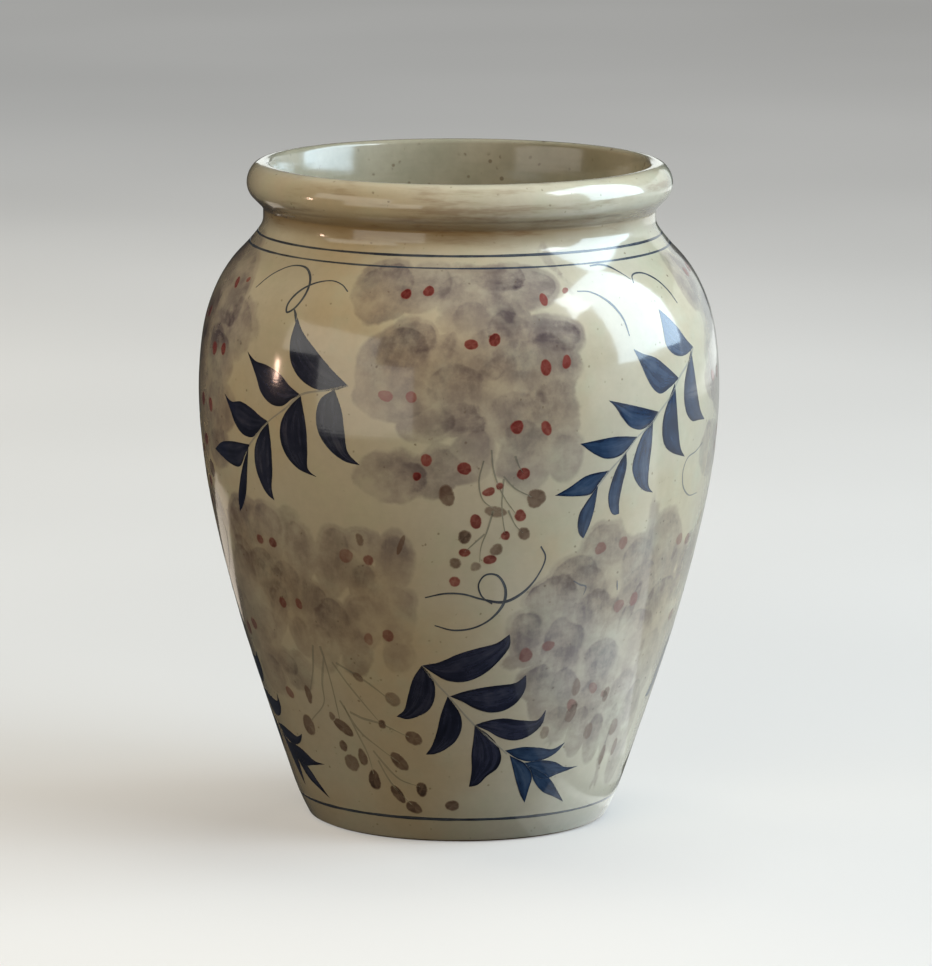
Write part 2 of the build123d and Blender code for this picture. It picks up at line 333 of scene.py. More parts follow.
def hand_spots(copy, spots):
    """Berries or buds painted again in another copy."""
    if copy == 0:
        return spots
    rng = random.Random(113 + copy)
    moved = []
    for x, y, wide, tall, turn, strength in spots:
        new_x, new_y = hand(copy, [(x, y)])[0]
        grown = rng.uniform(0.85, 1.15)
        moved.append((
            new_x + rng.uniform(-1, 1),
            new_y + rng.uniform(-1, 1),
            wide * grown,
            tall * rng.uniform(0.85, 1.15),
            turn + rng.uniform(-25, 25),
            strength * rng.uniform(0.8, 1.1),
        ))
    return moved


def hand_petal(copy, petal, rng):
    """A petal painted again in another copy."""
    if copy == 0:
        return petal
    x, y, long, wide, turn, taper, strength = petal
    new_x, new_y = hand(copy, [(x, y)])[0]
    return (
        new_x + rng.uniform(-3, 3),
        new_y + rng.uniform(-2, 2),
        long * rng.uniform(0.85, 1.15),
        wide * rng.uniform(0.85, 1.15),
        turn + rng.uniform(-20, 20),
        taper,
        strength * rng.uniform(0.8, 1.15),
    )


# ---- Meshes ----

SHARP = math.radians(35)                # faces that meet at more than this keep their edge


def piece(name, points, faces, material, *nodes, slot=None):
    """A mesh piece from points in metres, shaded smooth between faces that meet gently."""
    mesh = bpy.data.meshes.new(name)
    mesh.from_pydata([tuple(p) for p in points], [], faces)
    made = bpy.data.objects.new(name, mesh)
    bpy.context.scene.collection.objects.link(made)
    work = bmesh.new()
    work.from_mesh(mesh)
    bmesh.ops.recalc_face_normals(work, faces=work.faces)
    work.to_mesh(mesh)
    work.free()
    mesh.shade_smooth()
    mesh.set_sharp_from_angle(angle=SHARP)
    mesh.materials.append(material)
    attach(made, "root")
    if nodes:
        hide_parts(*nodes)
    return made


def set_attribute(made, name, values):
    """A four-number attribute on the points of a piece."""
    layer = made.data.attributes.new(name, "FLOAT_COLOR", "POINT")
    layer.data.foreach_set("color", np.asarray(values, np.float32).ravel())


def turned(name, profile, columns, material, *nodes, slot=None):
    """A closed ring-shaped piece, from a closed profile of (radius, height) turned about Z."""
    around = np.arange(columns) * 2 * math.pi / columns
    profile = np.asarray(profile)
    points = np.stack([
        np.outer(profile[:, 0], np.sin(around)),
        np.outer(profile[:, 0], -np.cos(around)),
        np.repeat(profile[:, 1:], columns, 1),
    ], -1) * MM
    rows = len(profile)
    faces = []
    for i in range(rows):
        low, high = i * columns, (i + 1) % rows * columns
        for j in range(columns):
            k = (j + 1) % columns
            faces.append((low + j, low + k, high + k, high + j))
    return piece(name, points.reshape(-1, 3), faces, material, *nodes, slot=slot)


CURVE_POINTS = 16                       # of a smooth curve, between two given points


def between(first, last, low, high, here):
    """A point between two others, as a place lies between a low and a high one."""
    return (first * (high - here) + last * (here - low)) / (high - low)


def smooth_line(points, step):
    """Evenly spaced points on a smooth curve (a centripetal Catmull-Rom one) through the given points."""
    given = np.array(points, float)
    given = np.vstack([2 * given[0] - given[1], given, 2 * given[-1] - given[-2]])
    found = []
    for a, b, c, d in zip(given[:-3], given[1:-2], given[2:-1], given[3:]):
        gaps = [math.sqrt(max(1e-6, math.dist(*pair))) for pair in ((a, b), (b, c), (c, d))]
        knots = np.cumsum([0] + gaps)
        for here in np.linspace(knots[1], knots[2], CURVE_POINTS, endpoint=False):
            ab = between(a, b, knots[0], knots[1], here)
            bc = between(b, c, knots[1], knots[2], here)
            cd = between(c, d, knots[2], knots[3], here)
            abc = between(ab, bc, knots[0], knots[2], here)
            bcd = between(bc, cd, knots[1], knots[3], here)
            found.append(between(abc, bcd, knots[1], knots[2], here))
    found = np.array([*found, given[-2]])
    length = np.concatenate([[0], np.cumsum(np.hypot(*np.diff(found, axis=0).T))])
    count = max(4, math.ceil(length[-1] / step)) + 1
    even = np.linspace(0, length[-1], count)
    return np.stack([np.interp(even, length, found[:, k]) for k in (0, 1)], 1)


def edge_distance(points, border):
    """Distance of chart points from a closed border line."""
    a, b = border, np.roll(border, -1, 0)
    run = b - a
    share = ((points[:, None] - a) * run).sum(-1) / np.maximum((run ** 2).sum(-1), TINY)
    near = a + np.clip(share, 0, 1)[..., None] * run
    return np.hypot(*np.moveaxis(points[:, None] - near, -1, 0)).min(1)


LEAF_STEP = 0.8                         # between the rows of a leaf
LEAF_COLUMNS = 11                       # of points across a leaf
LEAF_ENDS = 0.006                       # share of its length that a leaf lacks at the tip and the base
LINE_STEP = 0.6
LINE_COLUMNS = 5
LINE_SWELL = 0.15                       # how unevenly a line is pressed, as a share of its width
SPOT_POINTS = 28                        # round a berry or a bud
SPOT_RINGS = 7                          # from its middle out
SPOT_MIDDLE = 0.12                      # size of the innermost ring, as a share of the outermost
SPOT_WOBBLE = 0.06                      # how uneven a spot is, as a share of its size


class Film:
    """Painted shapes on the wall, each a thin closed solid, collected into one piece."""

    def __init__(self, seed):
        self.places, self.strokes, self.marks, self.faces = [], [], [], []
        self.count = 0
        self.rng = random.Random(seed)

    def add(self, grid, stroke, tone, long, wide, closed=False):
        """A shape from a grid of chart points. Each row crosses the shape, or goes round it if closed."""
        rows, across = grid.shape[:2]
        flat = grid.reshape(-1, 2)
        total = rows * across
        for lift in (PAINT_TOP, PAINT_FOOT):
            self.places.append(on_jar(flat[:, 0], flat[:, 1], lift))
            self.strokes.append(np.column_stack([stroke, np.full(total, tone)]))
            self.marks.append(np.tile([self.rng.random(), long, wide, 1.0], (total, 1)))
        top, foot = self.count, self.count + total
        steps = across if closed else across - 1
        for i in range(rows - 1):
            for j in range(steps):
                k = (j + 1) % across
                a, b = i * across + j, i * across + k
                c, d = b + across, a + across
                self.faces.append((top + a, top + b, top + c, top + d))
                self.faces.append((foot + d, foot + c, foot + b, foot + a))
        if closed:
            loops = [[(rows - 1) * across + j for j in range(across)]]
            self.faces.append(tuple(top + j for j in range(across)))
            self.faces.append(tuple(foot + j for j in reversed(range(across))))
        else:
            first = list(range(across))
            right = [i * across + across - 1 for i in range(1, rows)]
            last = [(rows - 1) * across + j for j in reversed(range(across - 1))]
            left = [i * across for i in reversed(range(1, rows - 1))]
            loops = [first + right + last + left]
        for loop in loops:
            for a, b in zip(loop, loop[1:] + loop[:1]):
                self.faces.append((top + b, top + a, foot + a, foot + b))
        self.count += 2 * total

    def leaf(self, leaf, tone):
        """A brushed leaf."""
        tip, first, base, second = leaf
        side_a = smooth_line([tip, *first, base], LEAF_STEP)
        side_b = smooth_line([tip, *reversed(second), base], LEAF_STEP)
        rows = max(len(side_a), len(side_b))
        share = np.linspace(LEAF_ENDS, 1 - LEAF_ENDS, rows)
        sides = []
        for side in (side_a, side_b):
            along = np.linspace(0, 1, len(side))
            sides.append(np.stack([np.interp(share, along, side[:, k]) for k in (0, 1)], 1))
        across = np.linspace(-1, 1, LEAF_COLUMNS)
        weight = ((across + 1) / 2)[None, :, None]
        grid = sides[0][:, None] * (1 - weight) + sides[1][:, None] * weight
        border = np.vstack([sides[0], sides[1][::-1]])
        distance = edge_distance(grid.reshape(-1, 2), border)
        stroke = np.column_stack([distance, np.repeat(share, LEAF_COLUMNS), np.tile(across, rows)])
        wide = np.hypot(*(sides[0] - sides[1]).T).max()
        self.add(grid, stroke, tone, math.dist(tip, base), wide)

    def line(self, points, widths, tone):
        """A brushed line, with its width at the start, the middle and the end."""
        centre = smooth_line(points, LINE_STEP)
        share = np.linspace(0, 1, len(centre))
        half = np.interp(share, (0, 0.5, 1), widths) / 2
        phase = self.rng.uniform(0, PHASES)
        half = half * (1 + LINE_SWELL * np.sin(share * len(centre) * 0.13 + phase))
        run = np.gradient(centre, axis=0)
        run /= np.maximum(np.hypot(*run.T), TINY)[:, None]
        side = np.stack([-run[:, 1], run[:, 0]], 1)
        across = np.linspace(-1, 1, LINE_COLUMNS)
        grid = centre[:, None] + side[:, None] * (across[None, :, None] * half[:, None, None])
        distance = half[:, None] * (1 - np.abs(across))
        stroke = [distance.ravel(), np.repeat(share, LINE_COLUMNS), np.tile(across, len(centre))]
        self.add(grid, np.column_stack(stroke), tone, len(centre) * LINE_STEP, half.max() * 2)

    def spot(self, x, y, wide, tall, turn, tone):
        """A dab of the brush tip, a little uneven."""
        around = np.arange(SPOT_POINTS) * 2 * math.pi / SPOT_POINTS
        wobble = sum(
            self.rng.uniform(-SPOT_WOBBLE, SPOT_WOBBLE) * np.cos(waves * around + self.rng.uniform(0, PHASES))
            for waves in (1, 2, 3)
        )
        ring = np.stack([np.cos(around) * wide / 2, np.sin(around) * tall / 2], 1) * (1 + wobble)[:, None]
        angle = math.radians(turn)
        ring = ring @ np.array([[math.cos(angle), math.sin(angle)], [-math.sin(angle), math.cos(angle)]])
        sizes = np.linspace(SPOT_MIDDLE, 1, SPOT_RINGS)
        grid = np.array([x, y]) + ring[None] * sizes[:, None, None]
        distance = (1 - sizes)[:, None] * np.hypot(*ring.T)[None]
        turns = np.tile(around / (2 * math.pi), SPOT_RINGS)
        stroke = np.column_stack([distance.ravel(), np.repeat(sizes, SPOT_POINTS), turns])
        self.add(grid, stroke, tone, tall, wide, closed=True)

    def finish(self, name, material, slot):
        """Makes one piece of the collected shapes."""
        made = piece(name, np.vstack(self.places), self.faces, material, slot=slot)
        set_attribute(made, "stroke", np.vstack(self.strokes))
        set_attribute(made, "mark", np.vstack(self.marks))
        paint_petals(made)


# ---- Petals: washes of thin pigment, held as layers of attributes that the materials turn to colour ----

# A petal is (x, y, half length, half width, turn in degrees, taper, strength)
UPPER_PETALS = [
    (-31, 88, 13, 11, 80, 0.1, 0.75), (-13, 91, 12, 9, 30, 0.1, 0.5), (-18, 73, 11, 6.5, 8, 0.2, 1),
    (-24, 60, 17, 12, 65, 0.1, 0.75), (-24, 49, 14, 7, -4, 0.1, 0.45), (-5, 68, 10, 3.6, 65, 0.2, 1.2),
    (-1, 87, 11, 9, 100, 0.1, 0.4), (10, 95, 17, 6, 2, 0, 0.55), (27, 91, 14, 8, 8, 0, 0.5),
    (4, 75, 12, 9, 90, 0.2, 0.4), (9, 63, 10, 3.4, -38, 0.1, 0.7), (19, 70, 13, 9, 120, 0.1, 0.5),
    (33, 73, 12, 6, -6, 0.1, 1.1), (31, 58, 13, 10, 100, 0.1, 0.7),
    (27, 53, 6, 2.6, -55, 0.1, 0.8), (-1, 52, 11, 9, 100, 0.2, 0.8), (14, 54, 12, 8, 70, 0.1, 0.5),
    (2, 40, 9, 5, 15, 0.2, 1.3), (-11, 40, 10, 6, 10, 0.1, 0.6), (20, 42, 12, 10, 100, 0.1, 0.6),
    (34, 43, 12, 9, 100, 0.1, 0.45), (4, 29, 11, 7, 60, 0.2, 0.5), (24, 29, 13, 10, 100, 0.1, 0.45),
    (-22, 22, 14, 9, 4, 0, 0.9), (-8, 24, 10, 8, 60, 0, 0.5), (38, 28, 9, 6, 90, 0.1, 0.3),
    (14, 84, 8, 4, -30, 0, 0.6),
    (8, 80, 18, 9, 5, 0, 0.35), (12, 62, 15, 12, 90, 0, 0.35), (-8, 58, 12, 10, 60, 0, 0.3),
]
LOWER_PETALS = [
    (-98, -8, 14, 11, 100, 0.1, 0.7), (-82, -7, 13, 10, 80, 0.1, 0.8), (-66, -12, 14, 9, 85, 0.1, 0.7),
    (-50, -15, 15, 8, 75, 0.1, 0.6), (-38, -22, 11, 6, 75, 0.2, 1.1), (-38, -8, 9, 8, 100, 0.1, 0.5),
    (-25, -14, 12, 7, 80, 0.1, 0.6), (-106, -28, 13, 10, 80, 0.1, 0.8), (-90, -26, 14, 9, 60, 0.1, 0.9),
    (-75, -28, 12, 8, 100, 0.1, 0.8), (-62, -33, 11, 7, 65, 0.1, 0.8), (-53, -40, 12, 8, 90, 0.1, 0.7),
    (-40, -38, 11, 8, 100, 0.1, 0.6), (-25, -36, 14, 7, 80, 0.1, 0.55), (-86, -42, 15, 6, 55, 0.1, 0.9),
    (-73, -47, 8, 6, 100, 0.1, 1), (-100, -46, 13, 9, 10, 0.1, 0.9), (-92, -58, 12, 5, -12, 0.2, 1),
    (-62, -50, 9, 8, 80, 0.1, 0.5), (-44, -51, 9, 7, 60, 0.1, 0.5), (-26, -51, 7, 6, 60, 0.1, 0.5),
    (-104, -66, 10, 6, 0, 0.1, 0.8), (-80, -60, 8, 7, 40, 0.1, 0.5), (-103, -20, 9, 8, 90, 0.1, 0.5),
    (-117, -46, 11, 9, 90, 0.1, 0.7),
    (-70, 0, 8, 5, 20, 0.1, 0.4), (-92, 2, 8, 5, -10, 0.1, 0.5),
]
# The lower group on the right is drawn from the photo, and isn't a copy of the one on the left
LOWER_RIGHT_PETALS = [
    (59, -11, 10, 9, 99, 0.1, 0.9), (96, -16, 19, 12, 108, 0.1, 0.6), (77, -22, 15, 10, 100, 0.1, 0.8),
    (48, -22, 10, 11, 97, 0.1, 1.5), (38, -30, 10, 10, 96, 0.1, 1.8), (62, -37, 12, 12, 100, 0.1, 1.5),
    (28, -44, 11, 8, 95, 0.1, 1.6), (46, -48, 10, 10, 100, 0.1, 1.8), (68, -57, 11, 11, 100, 0.1, 1.6),
    (88, -50, 11, 12, 110, 0.1, 0.6), (33, -61, 7, 9, 98, 0.1, 1), (52, -66, 9, 8, 100, 0.1, 1.1),
    (50, -80, 7, 6, 100, 0.1, 0.5), (66, -72, 10, 8, 100, 0.1, 0.8), (102, -38, 13, 13, 110, 0.1, 0.7),
    (88, -72, 11, 9, 110, 0.1, 0.6), (118, -26, 15, 10, 90, 0.1, 0.7), (120, -54, 14, 10, 90, 0.1, 0.7),
    (100, -84, 15, 10, 90, 0, 0.6), (104, -62, 14, 10, 90, 0, 0.6), (103, -102, 9, 7, 90, 0, 0.4),
    (52, -34, 19, 13, 80, 0, 0.55), (80, -42, 24, 15, 95, 0, 0.5), (46, -64, 16, 12, 80, 0, 0.6),
    (70, -66, 18, 12, 80, 0, 0.5), (66, -20, 14, 16, 90, 0, 0.45),
    (63, -84, 9, 5, 95, 0.1, 0.6), (75, -89, 10, 5, 95, 0.1, 0.6), (87, -86, 11, 4, 92, 0.1, 0.5),
    (30, -46, 10, 9, 60, 0.1, 0.5), (24, -52, 8, 5, 30, 0.1, 0.4),
]
# What isn't repeated: the left ends of both groups on the left, and narrow single strokes of the brush
STROKES = [
    (-110, 82, 9, 15, 20, 0.1, 0.8), (-98, 68, 10, 12, 60, 0.1, 0.7), (-112, 56, 11, 13, 90, 0.1, 0.7),
    (-108, 38, 9, 11, 80, 0.1, 0.6), (-111, 22, 8, 9, 80, 0.1, 0.5),
    (-128, -26, 10, 12, 90, 0.1, 0.6), (-131, -58, 9, 8, 90, 0.1, 0.6), (-124, -8, 9, 9, 90, 0.1, 0.6),
    (82, -14, 15, 1.5, 88, 0, 1.1), (80, -34, 9, 1.7, 75, 0, 1.1), (73, -48, 10, 1.5, 70, 0, 0.9),
    (101, -24, 15, 1.6, 75, 0, 0.6), (90, -52, 11, 1.4, 100, 0, 0.5), (43, -62, 12, 1.2, 86, 0, 1),
    (53, -81, 7, 1.2, 50, 0, 1), (87, -98, 9, 1.4, 90, 0, 0.9), (16, 93.5, 9, 1, -4, 0, 1),
    (16, 91.2, 7, 0.9, 0, 0, 0.9), (43.5, 98, 6, 1.2, -62, 0, 1.3),
    (55, -28, 12, 1.6, 84, 0, 0.7), (64, -52, 13, 1.8, 80, 0, 0.7), (58, -60, 9, 1.3, 95, 0, 0.8),
    (94, -66, 14, 1.8, 88, 0, 0.6), (76, -62, 11, 1.6, 94, 0, 0.6), (36, -52, 9, 2.2, 70, 0, 0.8),
    (67, -30, 10, 1.8, 100, 0, 0.6), (47, -42, 10, 1.5, 88, 0, 0.6),
]
LAYERS = 6                              # of attributes, as petals that overlap need one each
PETAL_GAP = 2.5                         # between the petals of a layer
FAR_FROM_PETALS = 60.0                  # the largest distance that an attribute says
STREAKS_APART = 37.0                    # sets the streaks of one petal off from the next one's
RING_POINTS = 24                        # round a petal, to find how far it is from others
NARROWEST = 0.05                        # share of its width that a tapered petal keeps at least


def petal_copies():
    """All petals round the jar."""
    made = []
    for copy in range(-1, 3):
        rng = random.Random(401 + copy)
        petals = UPPER_PETALS if copy == 1 else UPPER_PETALS + LOWER_PETALS
        made += [hand_petal(copy, petal, rng) for petal in petals]
    return made + LOWER_RIGHT_PETALS + STROKES


def petal_values(petal, x, y):
    """Signed distance from a petal's edge (negative inside), and the places along and across it."""
    px, py, long, wide, turn, taper, _ = petal
    angle = math.radians(turn)
    dx = (x - px + ROUND / 2) % ROUND - ROUND / 2
    dy = y - py
    along = dx * math.cos(angle) + dy * math.sin(angle)
    across = -dx * math.sin(angle) + dy * math.cos(angle)
    across = across / np.maximum(1 + taper * along / long, NARROWEST)
    near = np.hypot(along / long, across / wide) + 1e-6
    slope = np.hypot(along / long ** 2, across / wide ** 2) + 1e-6
    return near * (near - 1) / slope, along, across


def petal_layers(petals):
    """Petals sorted into layers, so that those of a layer touch each other as little as possible."""
    layers = [[] for _ in range(LAYERS)]
    around = np.arange(RING_POINTS) * 2 * math.pi / RING_POINTS
    for petal in petals:
        x, y, long, wide, turn = petal[:5]
        angle = math.radians(turn)
        ring_x = x + np.cos(around) * math.cos(angle) * long - np.sin(around) * math.sin(angle) * wide
        ring_y = y + np.cos(around) * math.sin(angle) * long + np.sin(around) * math.cos(angle) * wide
        room = [
            min((petal_values(other, ring_x, ring_y)[0].min() for other in layer), default=99)
            for layer in layers
        ]
        free = next((k for k, gap in enumerate(room) if gap > PETAL_GAP), None)
        layers[int(np.argmax(room)) if free is None else free].append(petal)
    return layers


layers = petal_layers(petal_copies())


def paint_petals(made):
    """Gives a piece the attributes of the petals, one for each layer."""
    count = len(made.data.vertices)
    places = np.empty(count * 3, np.float32)
    made.data.vertices.foreach_get("co", places)
    places = places.reshape(-1, 3).astype(float) / MM
    x = np.arctan2(places[:, 0], -places[:, 1]) * CHART_R
    below = outline[:, 1] <= NECK_Z
    y = np.interp(places[:, 2], outline[below, 1], outline_length[below]) - CHART_MIDDLE
    for k, layer in enumerate(layers):
        best = np.full(count, FAR_FROM_PETALS)
        along, across, strength = np.zeros(count), np.zeros(count), np.zeros(count)
        for number, petal in enumerate(layer):
            distance, here_along, here_across = petal_values(petal, x, y)
            near = distance < best
            best = np.where(near, distance, best)
            along = np.where(near, here_along / petal[2], along)
            across = np.where(near, here_across + STREAKS_APART * number, across)
            strength = np.where(near, petal[6], strength)
        set_attribute(made, f"petals_{k}", np.column_stack([best, along, across, strength]))


# ---- Materials ----

class Nodes:
    """Short ways to write a node tree."""

    def __init__(self, tree):
        self.tree = tree

    def add(self, kind, inputs=(), output=0, **settings):
        """A node with its settings and inputs, given by name or number. Returns one of its outputs."""
        node = self.tree.nodes.new(kind)
        for name, value in settings.items():
            setattr(node, name, value)
        for name, value in dict(inputs).items():
            if isinstance(value, bpy.types.NodeSocket):
                self.tree.links.new(value, node.inputs[name])
            else:
                node.inputs[name].default_value = value
        return node.outputs[output]

    def places(self):
        """The place on the object, in metres. Noise scales are per metre."""
        return self.add("ShaderNodeTexCoord", output=3)

    def stretched(self, where, aside, upright):
        """Places for a noise of its own scale round the jar and another upright."""
        return self.add("ShaderNodeVectorMath", {0: where, 1: (aside, aside, upright)}, operation="MULTIPLY")

    def math(self, operation, *values):
        """The result of some arithmetic."""
        return self.add("ShaderNodeMath", enumerate(values), operation=operation)

    def times(self, *values):
        """A product."""
        made = values[0]
        for value in values[1:]:
            made = self.math("MULTIPLY", made, value)
        return made

    def plus(self, *values):
        """A sum."""
        made = values[0]
        for value in values[1:]:
            made = self.math("ADD", made, value)
        return made

    def swing(self, value, size):
        """A noise turned into one round zero, of a size."""
        return self.times(self.math("SUBTRACT", value, 0.5), size)

    def decay(self, value, rate):
        """The exponential of minus a value times its rate."""
        return self.math("EXPONENT", self.times(value, -rate))

    def ramp(self, value, low, high, start=0.0, end=1.0):
        """A smooth change from start to end as the value goes from low to high."""
        return self.add(
            "ShaderNodeMapRange",
            {0: value, 1: low, 2: high, 3: start, 4: end},
            interpolation_type="SMOOTHSTEP",
        )

    def blend(self, share, first, second, kind="MIX"):
        """A colour between two colours."""
        return self.add(
            "ShaderNodeMix", {0: share, 6: first, 7: second}, output=2, data_type="RGBA", blend_type=kind
        )

    def dimmed(self, base, red, green, blue):
        """A colour with its red, green and blue multiplied by numbers."""
        shade = self.add("ShaderNodeCombineColor", {0: red, 1: green, 2: blue})
        return self.blend(1.0, base, shade, "MULTIPLY")

    def attribute(self, name):
        """The four numbers of an attribute."""
        node = self.tree.nodes.new("ShaderNodeAttribute")
        node.attribute_name = name
        parts = self.tree.nodes.new("ShaderNodeSeparateColor")
        self.tree.links.new(node.outputs["Color"], parts.inputs[0])
        return parts.outputs[0], parts.outputs[1], parts.outputs[2], node.outputs["Alpha"]

    def cells(self, where, scale):
        """The distance from the nearest of many scattered points."""
        return self.add("ShaderNodeTexVoronoi", {"Vector": where, "Scale": scale})

    def noise(self, where, scale, detail=3.0, roughness=0.5, output=0):
        """A smooth noise."""
        return self.add(
            "ShaderNodeTexNoise",
            {"Vector": where, "Scale": scale, "Detail": detail, "Roughness": roughness},
            output=output,
        )


def colour(red, green, blue):
    """A colour from its screen values, 0 to 255."""
    shares = [value / 255 for value in (red, green, blue)]
    return (*(c / 12.92 if c <= 0.04045 else ((c + 0.055) / 1.055) ** 2.4 for c in shares), 1.0)


CREAM = colour(198, 191, 168)
CREAM_WARM = colour(196, 182, 150)
CREAM_GREEN = colour(188, 187, 160)
SPECK = colour(84, 58, 34)
STAIN = colour(120, 84, 48)
# Painted shade for the crease under the rim
CREASE_SHADE = colour(134, 110, 70)
MAUVE_WASH = (0.64, 0.70, 0.56)         # how much a wash takes from red, green and blue
BROWN_WASH = (0.66, 0.76, 0.78)
# Heights in metres, each as a pair over which something changes
LOWER_PETALS_END = (0.1, 0.15)
RIM_STARTS = (0.222, 0.236)
CREASE_STARTS = (0.2245, 0.2335)
CREASE_ENDS = (0.2345, 0.2395)
GLAZE_RELIEF = 0.0004                   # depths in metres
CLAY_RELIEF = 0.0003
SPECK_FRAY = 0.0007


def cream_glaze(n, where, middle, fine):
    """The colour of the glaze without paint, warmer and greener in places."""
    cream = n.blend(n.ramp(n.noise(where, 14.0, 2.0), 0.35, 0.65), CREAM_WARM, CREAM)
    cream = n.blend(n.ramp(middle, 0.45, 0.75, 0.0, 0.6), cream, CREAM_GREEN)
    shade = n.plus(n.swing(fine, 0.16), n.swing(middle, 0.14), 1.0)
    return n.dimmed(cream, shade, shade, shade)


def wash_density(n, where, height):
    """The density of the petals' pigment.

    It is a thin wash over all petals with denser dabs in it. A dab is denser towards one end, streaked
    by the brush, and dark along parts of its edge, where the pigment pooled. Noise moves all edges.
    """
    drift = n.swing(n.noise(where, 42.0, 2.0), 17.0)
    fray = n.swing(n.noise(where, 210.0, 3.0, 0.6), 3.2)
    shift = n.plus(drift, fray)
    pooled = n.ramp(n.noise(where, 55.0, 1.0), 0.42, 0.56)
    total, union = 0.0, FAR_FROM_PETALS
    for k in range(LAYERS):
        distance, along, across, strength = n.attribute(f"petals_{k}")
        distance = n.plus(distance, n.times(shift, 1.0 - 0.5 * (k % 2)))
        union = n.math("MINIMUM", union, distance)
        brush = {0: n.times(along, 0.7), 1: n.times(across, 0.4), 2: float(k)}
        streak = n.noise(n.add("ShaderNodeCombineXYZ", brush), 1.0, 3.0, 0.6)
        streak = n.ramp(streak, 0.25, 0.75, 0.6, 1.2)
        soft = n.ramp(along, -0.9, 0.9, -5.0, -1.2)
        inside = n.ramp(distance, soft, 0.3, 1.0, 0.0)
        pool = n.decay(n.math("ABSOLUTE", n.plus(distance, 0.7)), 1.5)
        load = n.ramp(along, -1.0, 1.0, 0.1, 0.56)
        fill = n.plus(n.times(streak, load), n.times(pool, pooled, 0.38))
        total = n.plus(total, n.times(inside, fill, strength))
    total = n.plus(total, n.times(n.ramp(union, 0.6, 2.6, 1.0, 0.0), 0.46))
    blotch = n.ramp(n.noise(where, 95.0, 4.0, 0.65), 0.3, 0.72, 0.5, 1.55)
    patch = n.ramp(n.noise(where, 33.0, 2.0), 0.35, 0.66, 0.68, 1.35)
    return n.times(total, blotch, patch, n.ramp(height, *LOWER_PETALS_END, 0.88, 1.15))


def washed(n, where, height, base):
    """A colour under the petals' pigment, which is browner on the lower part of the jar."""
    density = wash_density(n, where, height)
    low = n.ramp(height, *LOWER_PETALS_END, 1.0, 0.4)
    brown = n.times(low, n.ramp(n.noise(where, 24.0, 1.0), 0.35, 0.6, 0.1, 0.5))
    kept = [
        n.math("EXPONENT", n.times(density, n.plus(-mauve, n.times(brown, mauve - umber_share))))
        for mauve, umber_share in zip(MAUVE_WASH, BROWN_WASH)
    ]
    return n.dimmed(base, *kept)


def iron_specks(n, where, base):
    """A colour with small and a few large specks of iron. Also gives where the small ones are."""
    jitter = {0: n.noise(where, 900.0, 2.0, output=1), 1: (SPECK_FRAY,) * 3, 2: where}
    frayed = n.add("ShaderNodeVectorMath", jitter, operation="MULTIPLY_ADD")
    seldom = n.ramp(n.noise(where, 240.0, 1.0), 0.61, 0.7)
    small = n.times(n.ramp(n.cells(frayed, 420.0), 0.1, 0.3, 1.0, 0.0), seldom)
    base = n.blend(n.times(small, 0.5), base, SPECK)
    rare = n.ramp(n.noise(where, 45.0, 1.0), 0.56, 0.66)
    large = n.times(n.ramp(n.cells(frayed, 110.0), 0.03, 0.085, 1.0, 0.0), rare)
    return n.blend(n.times(large, 0.7), base, SPECK), small


def stained_and_shaded_rim(n, where, height, base):
    """A colour with painted shade in the crease under the rim, and stains where the glaze runs thin on the
    roll.
    """
    rim = n.ramp(height, *RIM_STARTS)
    crease = n.times(n.ramp(height, *CREASE_STARTS), n.ramp(height, *CREASE_ENDS, 1.0, 0.0))
    # Painted shade: the crease under the rim is darkened towards an olive brown, more in some places than
    # others.
    crease_shade = n.ramp(n.noise(where, 16.0, 2.0), 0.35, 0.65, 0.55, 0.95)
    base = n.blend(n.times(crease, crease_shade), base, CREASE_SHADE)
    smear = n.ramp(n.noise(n.stretched(where, 30.0, 190.0), 1.0, 4.0, 0.65), 0.5, 0.72)
    stain = n.times(smear, n.plus(n.times(rim, 0.42), n.times(crease, 0.3), 0.03))
    return n.blend(stain, base, STAIN)


def glaze_group():
    """The node group of the glaze with its petals: gives the colour and the height of the surface."""
    group = bpy.data.node_groups.new("glaze", "ShaderNodeTree")
    group.interface.new_socket("Color", in_out="OUTPUT", socket_type="NodeSocketColor")
    group.interface.new_socket("Height", in_out="OUTPUT", socket_type="NodeSocketFloat")
    n = Nodes(group)
    where = n.places()
    height = n.add("ShaderNodeSeparateXYZ", {0: where}, output=2)
    middle = n.noise(where, 60.0, 3.0, 0.55)
    fine = n.noise(where, 260.0, 3.0, 0.6)
    painted = washed(n, where, height, cream_glaze(n, where, middle, fine))
    painted, specks = iron_specks(n, where, painted)
    painted = stained_and_shaded_rim(n, where, height, painted)
    rings = n.noise(n.stretched(where, 3.0, 230.0), 1.0, 2.0)
    relief = n.plus(n.times(rings, 0.35), n.times(middle, 0.5), n.times(fine, 0.08), n.times(specks, -0.05))
    out = n.tree.nodes.new("NodeGroupOutput")
    n.tree.links.new(painted, out.inputs[0])
    n.tree.links.new(relief, out.inputs[1])
    return group


def new_material(name):
    """A material and its nodes, with the shader ready."""
    material = bpy.data.materials.new(name)
    material.use_nodes = True
    return material, Nodes(material.node_tree), material.node_tree.nodes["Principled BSDF"]


def finish_surface(n, shader, base, rough, height, strength, depth):
    """Links a surface's colour, roughness and relief. The relief's depth is in metres."""
    normal = n.add("ShaderNodeBump", {"Strength": strength, "Distance": depth, "Height": height})
    linked = {"Base Color": base, "Roughness": rough, "Normal": normal, "Coat Normal": normal}
    for name, value in linked.items():
        n.tree.links.new(value, shader.inputs[name])


